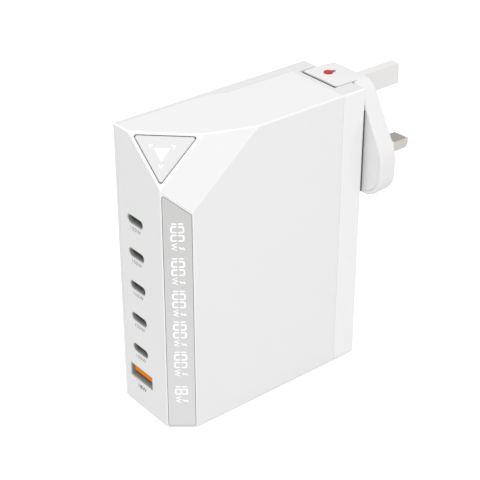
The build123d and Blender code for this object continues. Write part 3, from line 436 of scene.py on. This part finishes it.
def makeBar(length, width, thick):
    deselectAll()
    bpy.ops.mesh.primitive_cube_add(size=1)
    bar = bpy.context.object
    bar.scale = (length, width, thick)
    applyPlace(bar)
    return bar


def makeBolt(size, thick):
    deselectAll()
    bpy.ops.mesh.primitive_cylinder_add(vertices=3, radius=size * 0.36, depth=thick)
    half = bpy.context.object
    half.scale = (0.95, 1.55, 1)
    applyPlace(half)
    halves = []
    for side, turn in ((1, -46), (-1, 134)):  # two slim triangles, tip to tail
        shift = Matrix.Translation((side * 0.06 * size, side * 0.26 * size, 0))
        halves.append(copyPiece(half, shift @ Matrix.Rotation(radians(turn), 4, "Z")))
    bpy.data.objects.remove(half)
    return joinPieces(halves, "bolt_mark")


def makeText(words, height, thick, name, spread=1.0, weight=0.0):
    deselectAll()
    bpy.ops.object.text_add()
    text = bpy.context.object
    text.data.body = words
    text.data.align_x = "CENTER"
    text.data.align_y = "CENTER"
    text.data.size = height
    text.data.extrude = thick / 2
    text.data.space_character = spread
    text.data.offset = weight
    bpy.ops.object.convert(target="MESH")
    mesh = bpy.context.object
    mesh.name = name
    applyPlace(mesh)
    return mesh


stroke = readout["stroke"] * mm
thick = readout["thick"] * mm
cellWidth = readout["width"] * mm
cellHeight = readout["height"] * mm
unitLength = readout["unitLength"] * mm
halfHeight = (cellHeight - readout["split"] * mm) / 2
flatBar = makeBar(cellWidth - 0.9 * stroke, stroke, thick)
tallBar = makeBar(halfHeight - 0.45 * stroke, stroke, thick)
for bar in (flatBar, tallBar):
    bevelUprights(bar, readout["cut"] * mm, 1)
unitMark = makeText("W", readout["unitText"] * mm, thick, "unit_mark", weight=readout["unitWeight"] * mm)
boltMark = makeBolt(readout["bolt"] * mm, thick)
quarter = Matrix.Rotation(radians(90), 4, "Z")
narrow = Matrix.Scale(readout["boltWide"], 4, (1, 0, 0))
inset = stroke / 2
lowerBar = halfHeight / 2 + 0.225 * stroke
upperBar = cellHeight - lowerBar
spots = {  # centre of each bar in a digit's own cell, and whether it stands upright
    "a": (cellWidth / 2, cellHeight - inset, False), "g": (cellWidth / 2, cellHeight / 2, False),
    "d": (cellWidth / 2, inset, False), "b": (cellWidth - inset, upperBar, True),
    "c": (cellWidth - inset, lowerBar, True), "f": (inset, upperBar, True),
    "e": (inset, lowerBar, True),
}
marks = []
for start, value in zip(readout["starts"], readout["values"]):
    corner = Vector((edgeX, coverLow.y, coverLow.z + start * mm)) + along * readout["base"] * mm
    surface = planeAt(corner + outward * thick / 2, down, outward)
    reach = 0.0
    for figure in value:
        shift = cellWidth - stroke if figure == "1" else 0.0
        for segment in segmentsOf[figure]:
            x, y, upright = spots[segment]
            place = surface @ Matrix.Translation((reach + x - shift, y, 0))
            marks.append(copyPiece(tallBar if upright else flatBar, place @ quarter if upright else place))
        reach += (stroke if figure == "1" else cellWidth) + readout["gap"] * mm
    reach += readout["unitGap"] * mm
    unitSpot = (reach + unitLength / 2, readout["unit"] * mm / 2, 0)
    boltSpot = (reach + unitLength * readout["boltAt"], cellHeight - readout["bolt"] * mm / 2, 0)
    marks.append(copyPiece(unitMark, surface @ Matrix.Translation(unitSpot)))
    marks.append(copyPiece(boltMark, surface @ Matrix.Translation(boltSpot) @ narrow))
for pattern in (flatBar, tallBar, unitMark, boltMark):
    bpy.data.objects.remove(pattern)
digits = joinPieces(marks, "readout_digits")
finishPiece(digits, litPlastic("lit readout", "FFFFFF", 0.15), "casing")
print("readout made:", len(digits.data.polygons), "faces")

# Ratings printed under the sockets: five fine ones, and a bolder one at the foot
fineRating = {"words": "100W", "height": 2.2, "spread": 1.22, "drop": 3.45, "weight": 0.0}
lowRating = {"words": "18W", "height": 2.464, "spread": 1.1, "drop": 5.4, "weight": 0.025}
inkThick = 0.02 * mm


def printRating(socket, rating):
    low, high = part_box(socket)
    middle = (low + high) / 2
    label = makeText(rating["words"], rating["height"] * mm, inkThick, "rating",
                     rating["spread"], rating["weight"] * mm)
    spot = Vector((middle.x, coverLow.y - inkThick / 2, middle.z - rating["drop"] * mm))
    label.matrix_world = planeAt(spot, rightward, frontward)
    return label


prints = [printRating(f"usb_c_shell_{i}", fineRating) for i in range(1, 6)]
ratingPrint = joinPieces(prints, "rating_print")
finishPiece(ratingPrint, inkPrint("grey ink", "8C8C8C", "848484"), "casing")
lowRatingPrint = joinPieces([printRating("usb_a_shell", lowRating)], "low_rating_print")
finishPiece(lowRatingPrint, inkPrint("dark grey ink", "3C3C3C", "343434"), "casing")
print("ratings printed")

# Mark on the button
buttonMark = {"side": 5.3, "shiftX": -0.45, "shiftY": -0.05, "corner": 0.08, "tip": 5.15,
              "arm": 1.35, "stroke": 0.27, "thick": 0.03}
markThick = buttonMark["thick"] * mm
markShift = Matrix.Translation((buttonMark["shiftX"] * mm, buttonMark["shiftY"] * mm, 0))
markPlane = planeAt(facetMiddle + facetOut * markThick / 2, facetRight, facetOut) @ markShift
deselectAll()
bpy.ops.mesh.primitive_cylinder_add(vertices=3, radius=buttonMark["side"] * mm / 3 ** 0.5, depth=markThick)
arrow = bpy.context.object
bevelUprights(arrow, buttonMark["corner"] * mm, 2)
arm = makeBar(buttonMark["arm"] * mm, buttonMark["stroke"] * mm, markThick)
toTip = Matrix.Translation((buttonMark["tip"] * mm, 0, 0))
toArm = Matrix.Translation((buttonMark["arm"] * mm / 2, 0, 0))
marks = []
for turn in (30, 150, 270):  # a small angle mark outside each corner of the triangle
    tip = markPlane @ Matrix.Rotation(radians(turn), 4, "Z") @ toTip
    for lean in (150, 210):
        marks.append(copyPiece(arm, tip @ Matrix.Rotation(radians(lean), 4, "Z") @ toArm))
bpy.data.objects.remove(arm)
arrow.matrix_world = markPlane @ Matrix.Rotation(radians(180), 4, "Z")
icon = joinPieces([arrow] + marks, "button_mark")
finishPiece(icon, litPlastic("lit button mark", "FFFFFF", 0.2), "button")
print("button mark made")

# Contact pads on the USB-C tongues
contacts = {"count": 12, "pitch": 0.5, "width": 0.26, "length": 3.2, "thick": 0.04, "tongue": 0.7, "back": 0.5}
pads = []
pad = makeBar(contacts["width"] * mm, contacts["length"] * mm, contacts["thick"] * mm)
padLift = (contacts["tongue"] + contacts["thick"]) / 2 * mm
for i in range(1, 6):
    low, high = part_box(f"usb_c_tongue_{i}")
    middle = (low + high) / 2
    y = low.y + (contacts["back"] + contacts["length"] / 2) * mm
    for column in range(contacts["count"]):
        x = middle.x + (column - (contacts["count"] - 1) / 2) * contacts["pitch"] * mm
        for side in (-1, 1):
            pads.append(copyPiece(pad, Matrix.Translation((x, y, middle.z + side * padLift))))
bpy.data.objects.remove(pad)
contactPads = joinPieces(pads, "tongue_contacts")
finishPiece(contactPads, finishes["contact_brass"], "casing")
print("contact pads made:", len(pads))

# Grey strips on the plug's face, in the gap to the casing: dark pieces standing in for the shade in that gap
rubber = {"inner": 15.15, "outer": 15.8, "thick": 0.3, "foot": 0.5, "drop": 9.4, "round": 0.2}
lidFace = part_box("plug_lid")[0].y
plugLow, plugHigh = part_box("plug_body")
beadHigh = plugHigh.z - rubber["drop"] * mm
beadLow = plugLow.z + rubber["foot"] * mm
beadX = (rubber["outer"] + rubber["inner"]) / 2 * mm
beadY = lidFace - rubber["thick"] * mm / 2
strip = makeBar((rubber["outer"] - rubber["inner"]) * mm, beadHigh - beadLow, rubber["thick"] * mm)
bevelUprights(strip, rubber["round"] * mm, 3)
strips = []
for side in (-1, 1):
    spot = Vector((side * beadX, beadY, (beadHigh + beadLow) / 2))
    strips.append(copyPiece(strip, planeAt(spot, rightward, frontward)))
bpy.data.objects.remove(strip)
plugGapShadeStrips = joinPieces(strips, "plug_gap_shade_strips")
# strip material: painted shade in the gap between plug and casing
gapShadeStripMaterial = mouldedPlastic("grey strip as painted gap shade", "808080", "787878", 0.7, 0.4, 0.2, 0.3)
finishPiece(plugGapShadeStrips, gapShadeStripMaterial, "plug")
print("plug beads made")

# Camera
scene = bpy.context.scene
scene.view_settings.view_transform = "Standard"
view = {"place": (0.33699, -0.27362, 0.31135), "pitch": 30.164, "turn": 51.031, "lens": 103.46, "sensor": 36}
cameraData = bpy.data.cameras.new("camera")
cameraData.lens = view["lens"]
cameraData.sensor_width = view["sensor"]
camera = bpy.data.objects.new("camera", cameraData)
camera.location = view["place"]
camera.rotation_euler = (radians(90 - view["pitch"]), 0, radians(view["turn"]))
scene.collection.objects.link(camera)
scene.camera = camera

# Floor: matt white sweep, lifted to white for the eye but still taking a soft shadow
sweep = {"size": 6, "haze": 500, "lift": 0.42, "flagWay": Vector((-0.78, -0.63, 0)),
         "flagFrom": 0.03, "flagTo": 0.12, "flagCover": 0.36}
deselectAll()
bpy.ops.mesh.primitive_plane_add(size=sweep["size"])
floor = bpy.context.object
floor.name = "floor"
matt = {"Roughness": 0.9, "Specular IOR Level": 0.0, "Emission Color": linear("FFFFFF")}
floorMaterial, tree, shader, place = startMaterial("pale floor", matt)
path = addNode(tree, "ShaderNodeLightPath").outputs
tone = blend(tree, noise(tree, place, sweep["haze"], 2.0), "EDEDED", "EBEBEB")
away = facing(tree, place, sweep["flagWay"])
cover = remap(tree, away, 0.0, sweep["flagCover"], sweep["flagFrom"], sweep["flagTo"])
mirrored = combine(tree, "MULTIPLY", cover, path["Is Glossy Ray"])  # dark card that only reflections see
tree.links.new(blend(tree, mirrored, tone, "3A3A3A"), shader.inputs["Base Color"])
lift = combine(tree, "MULTIPLY", path["Is Camera Ray"], sweep["lift"])
tree.links.new(lift, shader.inputs["Emission Strength"])
floor.data.materials.append(floorMaterial)

# World: even fill light, white where it is seen, with a dimmer patch behind for reflections
sky = {"fill": 0.84, "patchWay": Vector((-0.67, 0.54, 0.50)), "patchFrom": 0.80, "patchTo": 0.93, "patch": 0.5}
world = bpy.data.worlds.new("studio")
scene.world = world
world.use_nodes = True
tree = world.node_tree
tree.nodes.clear()
path = addNode(tree, "ShaderNodeLightPath").outputs
seen = combine(tree, "MAXIMUM", path["Is Camera Ray"], path["Is Glossy Ray"])
shown = combine(tree, "MAXIMUM", seen, path["Is Transmission Ray"])
fill = addNode(tree, "ShaderNodeBackground", inputs={"Color": linear("FFFFFF"), "Strength": sky["fill"]})
ray = addNode(tree, "ShaderNodeTexCoord").outputs["Generated"]
shade = remap(tree, facing(tree, ray, sky["patchWay"]), 1.0, sky["patch"], sky["patchFrom"], sky["patchTo"])
level = addNode(tree, "ShaderNodeMix", inputs={2: 1.0}, links={0: path["Is Glossy Ray"], 3: shade})
white = addNode(tree, "ShaderNodeBackground", inputs={"Color": linear("FFFFFF")},
                links={"Strength": level.outputs[0]})
both = addNode(tree, "ShaderNodeMixShader", links={0: shown, 1: fill.outputs[0], 2: white.outputs[0]})
addNode(tree, "ShaderNodeOutputWorld", links={"Surface": both.outputs[0]})

# Soft key lamp, high on the right
key = {"place": Vector((0.52, -0.32, 1.13)), "aim": Vector((0, 0, 0.06)), "size": 0.7, "power": 4.2}
lampData = bpy.data.lights.new("key", "AREA")
lampData.shape = "DISK"
lampData.size = key["size"]
lampData.energy = key["power"]
lamp = bpy.data.objects.new("key", lampData)
lamp.location = key["place"]
lamp.rotation_euler = (key["aim"] - key["place"]).to_track_quat("-Z", "Y").to_euler()
scene.collection.objects.link(lamp)
print("studio set")
